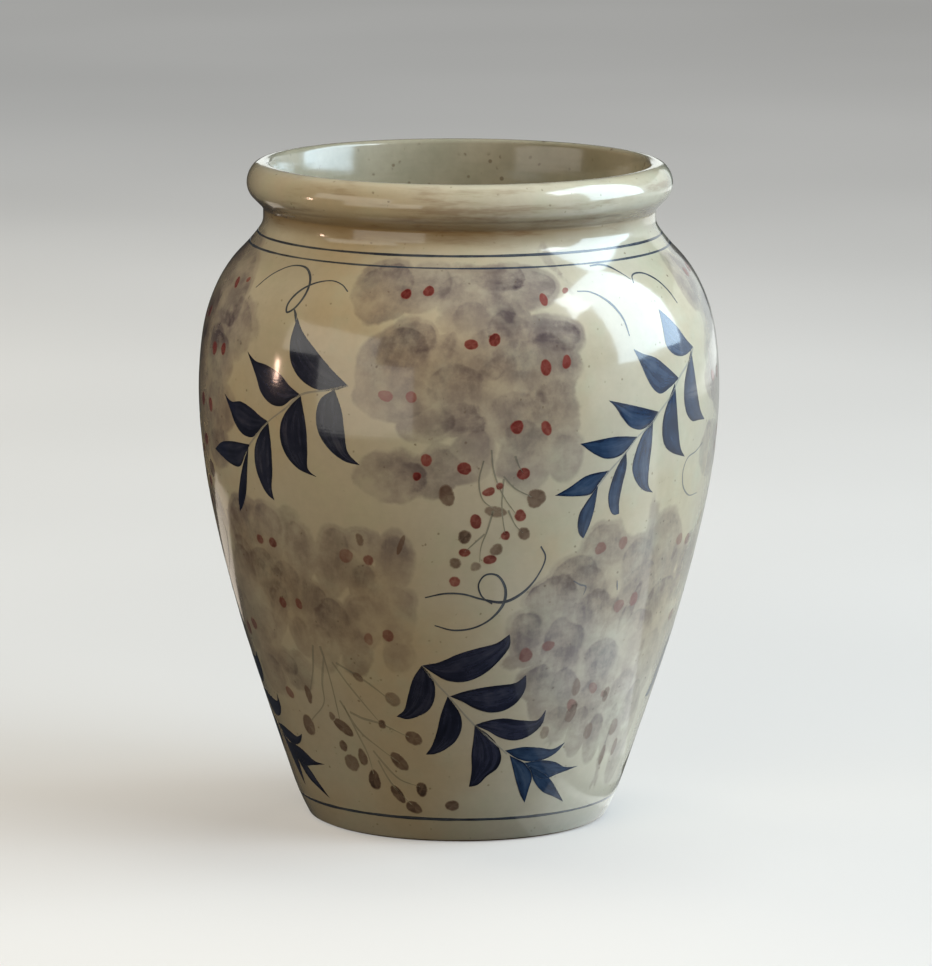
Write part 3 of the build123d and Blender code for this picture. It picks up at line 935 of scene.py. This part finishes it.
def finish_glaze(n, shader, base, height, strength=0.35, coat_roughness=0.075):
    """The finish of fired glaze: a clear hard gloss over an uneven surface."""
    shader.inputs["IOR"].default_value = 1.5
    shader.inputs["Coat Weight"].default_value = 1.0
    shader.inputs["Coat Roughness"].default_value = coat_roughness
    shader.inputs["Coat IOR"].default_value = 1.6
    rough = n.ramp(n.noise(n.places(), 45.0, 3.0), 0.3, 0.7, 0.13, 0.22)
    finish_surface(n, shader, base, rough, height, strength, GLAZE_RELIEF)


glaze = glaze_group()


def use_glaze(n):
    """The glaze group in a material: its colour and its height."""
    node = n.tree.nodes.new("ShaderNodeGroup")
    node.node_tree = glaze
    return node.outputs[0], node.outputs[1]


def outer_glaze_material():
    """The glaze outside, with the petals in it."""
    material, n, shader = new_material("outer_glaze")
    finish_glaze(n, shader, *use_glaze(n))
    return material


def inner_glaze_material():
    """The same glaze inside, greyer, darkened as painted shade for the inside of the jar, and without paint.
    """
    material, n, shader = new_material("inner_glaze")
    where = n.places()
    middle = n.noise(where, 45.0, 4.0, 0.6)
    fine = n.noise(where, 300.0, 3.0, 0.6)
    # Painted shade: both colours are darker than the outside's cream, for the shade inside the jar.
    base = n.blend(n.ramp(middle, 0.35, 0.7), colour(161, 154, 132), colour(147, 143, 121))
    shade = n.plus(n.swing(fine, 0.2), 1.0)
    base = n.dimmed(base, shade, shade, shade)
    seldom = n.ramp(n.noise(where, 170.0, 1.0), 0.56, 0.66)
    speck = n.times(n.ramp(n.cells(where, 300.0), 0.16, 0.34, 1.0, 0.0), seldom)
    base = n.blend(n.times(speck, 0.6), base, SPECK)
    rings = n.noise(n.stretched(where, 4.0, 200.0), 1.0, 2.0)
    finish_glaze(n, shader, base, n.plus(rings, n.times(middle, 0.6)), 0.4, 0.12)
    return material


def clay_material():
    """Bare fired clay: buff, gritty and matt."""
    material, n, shader = new_material("bare_clay")
    where = n.places()
    broad = n.noise(where, 35.0, 4.0, 0.6)
    grit = n.noise(where, 900.0, 3.0, 0.7)
    base = n.blend(n.ramp(broad, 0.3, 0.7), colour(170, 134, 98), colour(146, 110, 76))
    base = n.blend(n.ramp(grit, 0.58, 0.72, 0.0, 0.6), base, colour(104, 74, 48))
    base = n.blend(n.ramp(grit, 0.28, 0.4, 0.4, 0.0), base, colour(206, 182, 148))
    rough = n.ramp(grit, 0.3, 0.7, 0.72, 0.92)
    finish_surface(n, shader, base, rough, grit, 0.5, CLAY_RELIEF)
    return material


def paint_material(name, deep, thin, cover, pool, streak_scale, fade):
    """Pigment under the gloss of the glaze, from its deep colour to the one where it is thin.

    Cover is its density, and pool how much more its edge has. It fades out over the distance fade, in
    millimetres.
    """
    material, n, shader = new_material(name)
    under, height = use_glaze(n)
    where = n.places()
    distance, along, across, strength = n.attribute("stroke")
    seed, long, wide, _ = n.attribute("mark")
    brush = {0: n.times(along, long, 0.06), 1: n.times(across, wide, streak_scale), 2: n.times(seed, 40.0)}
    streak = n.ramp(n.noise(n.add("ShaderNodeCombineXYZ", brush), 1.0, 4.0, 0.6), 0.25, 0.75)
    mottle = n.ramp(n.noise(where, 130.0, 3.0, 0.6), 0.3, 0.7)
    uneven = n.plus(n.times(streak, -0.35 * cover), n.times(mottle, -0.18 * cover))
    density = n.plus(cover, n.times(n.decay(distance, 1.6), pool), uneven)
    ragged = n.swing(n.noise(where, 700.0, 3.0, 0.6), 1.2 * fade)
    density = n.times(density, strength, n.ramp(n.plus(distance, ragged), -0.2 * fade, fade))
    body = n.blend(n.ramp(density, 0.45 * cover, 1.05 * cover + 0.3 * pool), thin, deep)
    opacity = n.math("SUBTRACT", 1.0, n.decay(density, 2.6))
    finish_glaze(n, shader, n.blend(opacity, under, body), height)
    return material


cobalt_dark = paint_material("cobalt_dark", colour(3, 8, 26), colour(15, 30, 68), 1.75, 0.5, 0.22, 0.15)
cobalt_blue = paint_material("cobalt_blue", colour(3, 20, 48), colour(14, 60, 98), 1.7, 0.7, 0.22, 0.15)
cobalt_line = paint_material("cobalt_line", colour(14, 28, 50), colour(44, 68, 92), 1.1, 0.2, 0.6, 0.1)
stem_paint = paint_material("stem_paint", colour(96, 104, 112), colour(150, 156, 158), 0.3, 0.15, 0.6, 0.12)
iron_red = paint_material("iron_red", colour(84, 14, 12), colour(136, 48, 42), 1.15, 0.3, 0.8, 0.55)
rust = paint_material("rust", colour(84, 30, 24), colour(122, 60, 50), 0.9, 0.2, 0.8, 0.7)
umber = paint_material("umber", colour(54, 38, 30), colour(106, 80, 64), 1.15, 0.35, 0.6, 0.9)
stalk_paint = paint_material("stalk_paint", colour(74, 76, 66), colour(122, 124, 110), 0.5, 0.2, 0.6, 0.15)

# ---- Clay: the CAD nodes keep their shapes ----

clay = clay_material()
for node in ("foot_ring", "body", "neck_and_rim"):
    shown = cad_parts[node]
    shown.data.materials.clear()
    shown.data.materials.append(clay)

# ---- Glaze coats ----

COLUMNS = 336
SHOULDER = 212                          # how far up the outline the shoulder is
WALL_STEP = 1.55                        # between the rows below it, on the gentle wall
RIM_STEP = 0.6                          # and above it, where the outline turns fast
HIDDEN_OUTER = 8                        # of this many rows, one goes on at the back of the outer coat
HIDDEN_INNER = 4                        # and at the back of the inner coat
INSIDE_WALL = 3                         # of this many points of the outline, one goes on inside the wall
MOUTH_STEP = 0.25                       # between the rows of the round edge of the mouth
FLARE_STEP = 1.2                        # and of the flare under it
CORNER_ROWS = 16
FLOOR_ROWS = 26
FLOOR_HOLE_R = 0.3                      # the coat stops this far from the middle of the floor


def outer_coat():
    """The coat on the outside, from the foot to the crown, and back along the clay."""
    whole = outline_length[-1]
    rows_at = np.concatenate([
        [0, 0.08, 0.5],
        np.arange(WALL_STEP, SHOULDER, WALL_STEP),
        np.arange(SHOULDER, whole - 0.3, RIM_STEP),
        [whole - 0.08, whole],
    ])
    rows = np.stack([np.interp(rows_at, outline_length, outline[:, k]) for k in range(3)], 1)
    under = rows[::-HIDDEN_OUTER]
    if len(rows) % HIDDEN_OUTER != 1:
        under = np.vstack([under, rows[:1]])
    profile = np.vstack([beside(rows, -SKIN), beside(under, -COAT)])
    material = outer_glaze_material()
    coat = turned("outer_glaze_coat", profile, COLUMNS, material, "outer_glaze", slot="outer_glaze")
    paint_petals(coat)


def finished_inside():
    """Radius and height along the inside of the CAD model, from the crown to the middle of the floor."""
    crown_r, crown_z = outline[-1][:2]
    in_wall = (outline[:, 1] >= FLOOR_CORNER_Z - 1e-6) & (outline[:, 1] <= NECK_Z + 1e-6)
    outside = outline[in_wall]
    wall = beside(np.vstack([outside[:-1:INSIDE_WALL], outside[-1:]]), -WALL)[::-1]

    inset, drop = crown_r - wall[0][0], crown_z - NECK_Z
    sine, cosine = math.sin(math.radians(MOUTH_FLARE)), math.cos(math.radians(MOUTH_FLARE))
    edge_r = (inset * sine - drop * (1 - cosine)) / (cosine * sine - (1 - sine) * (1 - cosine))
    edge_z = crown_z - edge_r * (1 - sine)
    edge = arc_points((crown_r, crown_z, 180), [(edge_z, 270 - MOUTH_FLARE)], MOUTH_STEP)
    flare = arc_points(edge[-1] * (1, 1, 180 / math.pi), [(NECK_Z, 270)], FLARE_STEP)[1:-1]

    slope = math.radians(FLOOR_CORNER_SLOPE)
    start_r, start_z = wall[-1]
    corner_r = (start_z - FLOOR_TOP_Z) / (1 - math.cos(slope))
    corner = []
    for here in np.linspace(slope, 0, CORNER_ROWS)[1:]:
        inwards = corner_r * (math.sin(slope) - math.sin(here))
        corner.append((start_r - inwards, FLOOR_TOP_Z + corner_r * (1 - math.cos(here))))
    floor = [(radius, FLOOR_TOP_Z) for radius in np.linspace(corner[-1][0], FLOOR_HOLE_R, FLOOR_ROWS)[1:]]
    return np.vstack([edge[:, :2], flare[:, :2], wall, corner, floor])


def inward(profile, distance):
    """A profile moved towards the clay behind it, on its left as it runs down the inside."""
    run = np.gradient(profile, axis=0)
    run /= np.maximum(np.hypot(*run.T), TINY)[:, None]
    return profile + np.stack([-run[:, 1], run[:, 0]], 1) * distance


def inner_coat():
    """The coat on the inside, from the crown over the floor, and back along the clay."""
    finished = finished_inside()
    crown_r, crown_z = finished[0]
    surface = inward(finished, SKIN)
    surface[0] = (crown_r, crown_z - SKIN)
    behind = inward(finished, COAT)[::-HIDDEN_INNER]
    profile = np.vstack([surface, behind, [(crown_r, crown_z - COAT)]])
    turned("inner_glaze_coat", profile, COLUMNS, inner_glaze_material(), "inner_glaze", slot="inner_glaze")


outer_coat()
inner_coat()

# ---- Painted lines round the jar ----

BAND_COLUMNS = 720
BAND_ROWS = 5


def band(name, height, wide, seed, tone, wave):
    """A line drawn on the turning wheel: closed, and a little uneven in width and height."""
    rng = random.Random(seed)
    around = np.linspace(0, 2 * math.pi, BAND_COLUMNS + 1)[:-1]
    phases = [rng.uniform(0, PHASES) for _ in range(5)]
    middle = chart_y(height) + wave * (np.sin(around + phases[0]) + 0.4 * np.sin(3 * around + phases[1]))
    half = wide / 2 * (
        1
        + 0.12 * np.sin(2 * around + phases[2])
        + 0.1 * np.sin(9 * around + phases[3])
        + 0.06 * np.sin(31 * around + phases[4])
    )
    across = np.linspace(-1, 1, BAND_ROWS)
    x = np.tile(around * CHART_R, BAND_ROWS)
    y = (middle + across[:, None] * half).ravel()
    places = np.vstack([on_jar(x, y, lift) for lift in (PAINT_TOP, PAINT_FOOT)])
    total = len(x)
    top = total - BAND_COLUMNS
    faces = []
    for j in range(BAND_COLUMNS):
        k = (j + 1) % BAND_COLUMNS
        for row in range(0, top, BAND_COLUMNS):
            a, b = row + j, row + k
            c, d = b + BAND_COLUMNS, a + BAND_COLUMNS
            faces.append((a, b, c, d))
            faces.append((total + d, total + c, total + b, total + a))
        faces.append((j, total + j, total + k, k))
        faces.append((top + k, total + top + k, total + top + j, top + j))
    made = piece(name + "_line", places, faces, cobalt_line, name, slot="cobalt_paint")
    stroke = np.column_stack([
        (half * (1 - np.abs(across))[:, None]).ravel(),
        np.tile(around / (2 * math.pi) * 30, BAND_ROWS),
        np.repeat(across, BAND_COLUMNS),
        np.full(total, tone),
    ])
    set_attribute(made, "stroke", np.tile(stroke, (2, 1)))
    set_attribute(made, "mark", np.tile([0.3 + seed * 0.01, 20.0, wide, 1.0], (2 * total, 1)))
    paint_petals(made)


band("foot_band", 10.0, 1.2, 3, 1.0, 0.25)
band("lower_neck_band", 220.2, 0.85, 5, 0.9, 0.12)
band("upper_neck_band", 224.0, 1.0, 8, 1.0, 0.12)

# ---- Leaf sprays ----


def paint_leaves(name, leaves, material, copy, tones, seed):
    """The leaves of a spray, as one piece."""
    film = Film(seed)
    rng = random.Random(seed)
    for leaf in leaves:
        film.leaf(hand_leaf(copy, leaf), rng.uniform(*tones))
    film.finish(name, material, "cobalt_paint")


def spray(name, leaves, stem, material, copy, tones, seed):
    """A spray of leaves with its stem, as two pieces."""
    paint_leaves(f"{name}_leaves", leaves, material, copy, tones, seed)
    line = Film(seed + 1)
    line.line(hand(copy, stem), (0.9, 0.8, 0.7), 0.9)
    line.finish(f"{name}_stem", stem_paint, "cobalt_paint")


spray("spray_front_left", LEFT_SPRAY, LEFT_STEM, cobalt_dark, 0, (0.9, 1.05), 11)
spray("spray_front_right", RIGHT_SPRAY, RIGHT_STEM, cobalt_blue, 0, (0.9, 1.1), 21)
spray("spray_front_low", LOW_SPRAY[:-4], LOW_STEM, cobalt_dark, 0, (0.95, 1.05), 31)
paint_leaves("spray_front_low_tip", LOW_SPRAY[-4:], cobalt_blue, 0, (0.95, 0.95), 35)
spray("spray_back_left", LEFT_SPRAY, LEFT_STEM, cobalt_blue, 2, (0.85, 1.05), 41)
spray("spray_back_right", RIGHT_SPRAY, RIGHT_STEM, cobalt_dark, -2, (0.9, 1.1), 51)
spray("spray_left_low", LOW_SPRAY, LOW_STEM, cobalt_dark, -1, (0.95, 1.05), 61)
spray("spray_right_low", LOW_SPRAY, LOW_STEM, cobalt_blue, 1, (0.9, 1.05), 71)
spray("spray_back_low", LOW_SPRAY, LOW_STEM, cobalt_dark, 2, (0.9, 1.05), 81)

# ---- Tendrils, berries, buds and stalks ----


def paint_spots(name, spots, seed, material, slot):
    """Berries or buds, as one piece."""
    film = Film(seed)
    for x, y, wide, tall, turn, strength in spots:
        film.spot(x, y, wide, tall, turn, strength)
    film.finish(name, material, slot)


# The sides of the jar, as (name, copy of the pattern, upper tendrils there and the copy that they are)
SIDES = [
    ("front", 0, UPPER_TENDRIL, 0),
    ("right", 1, RIGHT_TENDRIL, 0),
    ("back", 2, UPPER_TENDRIL, 2),
    ("left", -1, RIGHT_TENDRIL, -2),
]
for side, copy, upper_tendrils, upper_copy in SIDES:
    # The lower group on the right has its own berries and buds, and no stalks
    right = side == "right"

    tendrils = Film(200 + copy)
    for points in upper_tendrils:
        tendrils.line(hand(upper_copy, points), (0.5, 1.1, 0.5), 0.9)
    for points in LOWER_TENDRIL:
        tendrils.line(hand(copy, points), (0.5, 1.15, 0.6), 0.95)
    for points in EDGE_TENDRIL if right else []:
        tendrils.line(points, (0.4, 0.8, 0.4), 0.4)
    tendrils.finish(f"tendrils_{side}", cobalt_line, "cobalt_paint")

    low_berries = LOWER_RIGHT_BERRIES if right else hand_spots(copy, LOWER_BERRIES)
    low_buds = LOWER_RIGHT_BUDS if right else hand_spots(copy, LOWER_BUDS)
    buds = [*hand_spots(copy, UPPER_BUDS), *low_buds]
    paint_spots(f"berries_{side}", hand_spots(copy, UPPER_BERRIES), 300 + copy, iron_red, "iron_red_paint")
    paint_spots(f"low_berries_{side}", low_berries, 350 + copy, rust, "iron_red_paint")
    paint_spots(f"buds_{side}", buds, 400 + copy, umber, "umber_paint")

    stalks = Film(500 + copy)
    for points in UPPER_STALKS:
        stalks.line(hand(copy, points), (0.8, 0.6, 0.4), 0.8)
    for points in [] if right else LOWER_STALKS:
        stalks.line(hand(copy, points), (1.2, 0.9, 0.5), 0.55)
    stalks.finish(f"stalks_{side}", stalk_paint, "umber_paint")

# ---- Stage, lights and camera ----

floor_mesh = bpy.data.meshes.new("studio_floor")
floor_mesh.from_pydata([(-8, -6, 0), (8, -6, 0), (8, 12, 0), (-8, 12, 0)], [], [(0, 1, 2, 3)])
studio_floor = bpy.data.objects.new("studio_floor", floor_mesh)
bpy.context.scene.collection.objects.link(studio_floor)
studio_floor.visible_glossy = False
studio_floor.visible_diffuse = False
floor_material, n, shader = new_material("studio_floor")
cloudy = n.ramp(n.noise(n.places(), 1.2, 2.0), 0.3, 0.7)
pale = n.blend(cloudy, colour(170, 169, 166), colour(178, 177, 174))
n.tree.links.new(pale, shader.inputs["Base Color"])
n.tree.links.new(pale, shader.inputs["Emission Color"])
shader.inputs["Emission Strength"].default_value = 0.75
shader.inputs["Roughness"].default_value = 0.85
shader.inputs["Specular IOR Level"].default_value = 0.2
floor_mesh.materials.append(floor_material)


def direction(azimuth, elevation):
    """The direction at an azimuth from the front, towards +X, and an elevation."""
    a, e = math.radians(azimuth), math.radians(elevation)
    return Vector((math.sin(a) * math.cos(e), -math.cos(a) * math.cos(e), math.sin(e)))


AIM = Vector((0, 0, 0.15))              # the place on the jar's axis that the lights face


def area_light(name, wide, tall, power, tint, place, turn):
    """A rectangular light with its place and its turn."""
    light = bpy.data.lights.new(name, "AREA")
    light.shape = "RECTANGLE"
    light.size, light.size_y = wide, tall
    light.energy = power
    light.color = tint
    made = bpy.data.objects.new(name, light)
    bpy.context.scene.collection.objects.link(made)
    made.rotation_mode = "QUATERNION"
    made.location, made.rotation_quaternion = place, turn
    return made


def soft_light(name, azimuth, elevation, distance, wide, tall, power, tint):
    """A light that faces the jar."""
    towards = direction(azimuth, elevation)
    place = AIM + towards * distance
    return area_light(name, wide, tall, power, tint, place, towards.to_track_quat("Z", "Y"))


def upright_light(name, azimuth, distance, left, right, low, high, brightness, tint):
    """A light in an upright plane. Its sides are given in shares of its distance, from the jar."""
    towards = direction(azimuth, 0)
    aside = direction(azimuth + 90, 0)
    wide, tall = (right - left) * distance, (high - low) * distance
    place = AIM + (towards + aside * (left + right) / 2 + Vector((0, 0, (low + high) / 2))) * distance
    return area_light(
        name, wide, tall, brightness * math.pi * wide * tall, tint, place, towards.to_track_quat("Z", "Y")
    )


def table_glow(name, left, right, front, back, brightness, tint, height=0.004):
    """Light that comes back from the table beside the jar."""
    wide, deep = right - left, back - front
    place = Vector(((left + right) / 2, (front + back) / 2, height))
    return area_light(
        name, wide, deep, brightness * math.pi * wide * deep, tint, place, Quaternion((1, 0, 0), math.pi)
    )


def reflected_only(light):
    """Lets a light show in the gloss only."""
    light.visible_diffuse = False


def unreflected(light):
    """Keeps a light out of the gloss."""
    light.visible_glossy = False


upright_light("window", 95, 1.5, -0.40, 0.36, 0.09, 1.38, 4.7, (0.68, 0.86, 1.0))
upright_light("window_high", 95, 1.5, -0.72, -0.40, 0.82, 1.38, 6.4, (0.82, 0.93, 1.0))
reflected_only(upright_light("sill", 85, 1.5, -0.53, 0.58, -0.1, 0.09, 0.5, (0.9, 0.97, 1.0)))
reflected_only(upright_light("right_back", 138, 1.7, -0.45, 0.45, -0.12, 0.35, 0.62, (0.95, 1.0, 0.98)))
# The table gets brighter towards the right, in steps of (left end, front end) that the gloss blurs
TABLE_RIGHT = [(0.058, -0.24), (0.072, -0.19), (0.09, -0.14), (0.11, -0.1), (0.135, -0.06)]
for step, (left, front) in enumerate(TABLE_RIGHT):
    height = 0.004 + 0.001 * step
    reflected_only(table_glow(
        f"table_right_{step}", left, 0.9, front, 0.03, 0.2, (0.95, 1.0, 1.0), height
    ))
# Close to the foot, as (left end, front end, brightness)
TABLE_NEAR = [(0.028, -0.062, 0.34), (0.036, -0.055, 0.26), (0.043, -0.048, 0.14)]
for step, (left, front, glow) in enumerate(TABLE_NEAR):
    height = 0.0005 + 0.0005 * step
    reflected_only(table_glow(
        f"table_near_{step}", left, 0.068, front, 0.03, glow, (0.97, 1.0, 0.97), height
    ))
reflected_only(table_glow("table_far_right", 0.08, 1.3, 0.03, 2.0, 0.42, (0.97, 1.0, 0.95)))
unreflected(table_glow("table_bounce", 0.0635, 0.5, -0.12, 0.4, 1.1, (0.96, 0.98, 0.97)))
reflected_only(table_glow("table_back_left", -0.38, -0.15, 0.25, 0.43, 0.55, (1.0, 0.88, 0.74)))
reflected_only(upright_light("back", 180, 2.0, -0.17, 0.17, 0.08, 0.25, 1.0, (0.95, 1.0, 0.98)))
upright_light("left_window", -60, 1.5, -0.44, 0.44, 0.17, 0.50, 0.95, (1.0, 0.97, 0.9))
upright_light("left_window_low", -41, 1.5, -0.40, 0.40, -0.19, 0.17, 0.9, (1.0, 0.97, 0.9))
soft_light("lamp", -85, 2, 1.5, 0.06, 0.14, 0.5, (1.0, 0.66, 0.5))
unreflected(soft_light("left_back", -128, 15, 1.8, 0.9, 0.9, 15, (1.0, 0.88, 0.7)))
unreflected(soft_light("fill_front", -18, 30, 0.8, 0.5, 0.4, 2.2, (1.0, 0.77, 0.49)))
unreflected(soft_light("fill_right", 65, 30, 2.2, 1.2, 1.2, 30, (0.8, 0.92, 1.08)))
unreflected(soft_light("fill_top", 150, 70, 1.9, 1.2, 0.9, 16, (1.0, 0.98, 0.92)))

world = bpy.data.worlds.new("studio")
world.use_nodes = True
world.node_tree.nodes["Background"].inputs[0].default_value = (0.83, 0.91, 1.0, 1.0)
world.node_tree.nodes["Background"].inputs[1].default_value = 0.024
bpy.context.scene.world = world

CAMERA_PLACE = Vector((0, -2.4, 0.53406))
CAMERA_PITCH = 0.168036                 # radians below the horizon
CAMERA_ROLL = math.radians(0.22)
camera_data = bpy.data.cameras.new("camera")
camera_data.lens = 239.0
camera_data.sensor_width = 36.0
camera_data.shift_x = 0.0076
camera_data.clip_start, camera_data.clip_end = 0.05, 60
camera = bpy.data.objects.new("camera", camera_data)
bpy.context.scene.collection.objects.link(camera)
camera.location = CAMERA_PLACE
camera.rotation_euler = (
    Matrix.Rotation(math.pi / 2 - CAMERA_PITCH, 3, "X") @ Matrix.Rotation(CAMERA_ROLL, 3, "Z")
).to_euler()
bpy.context.scene.camera = camera
bpy.context.scene.view_settings.view_transform = "Standard"
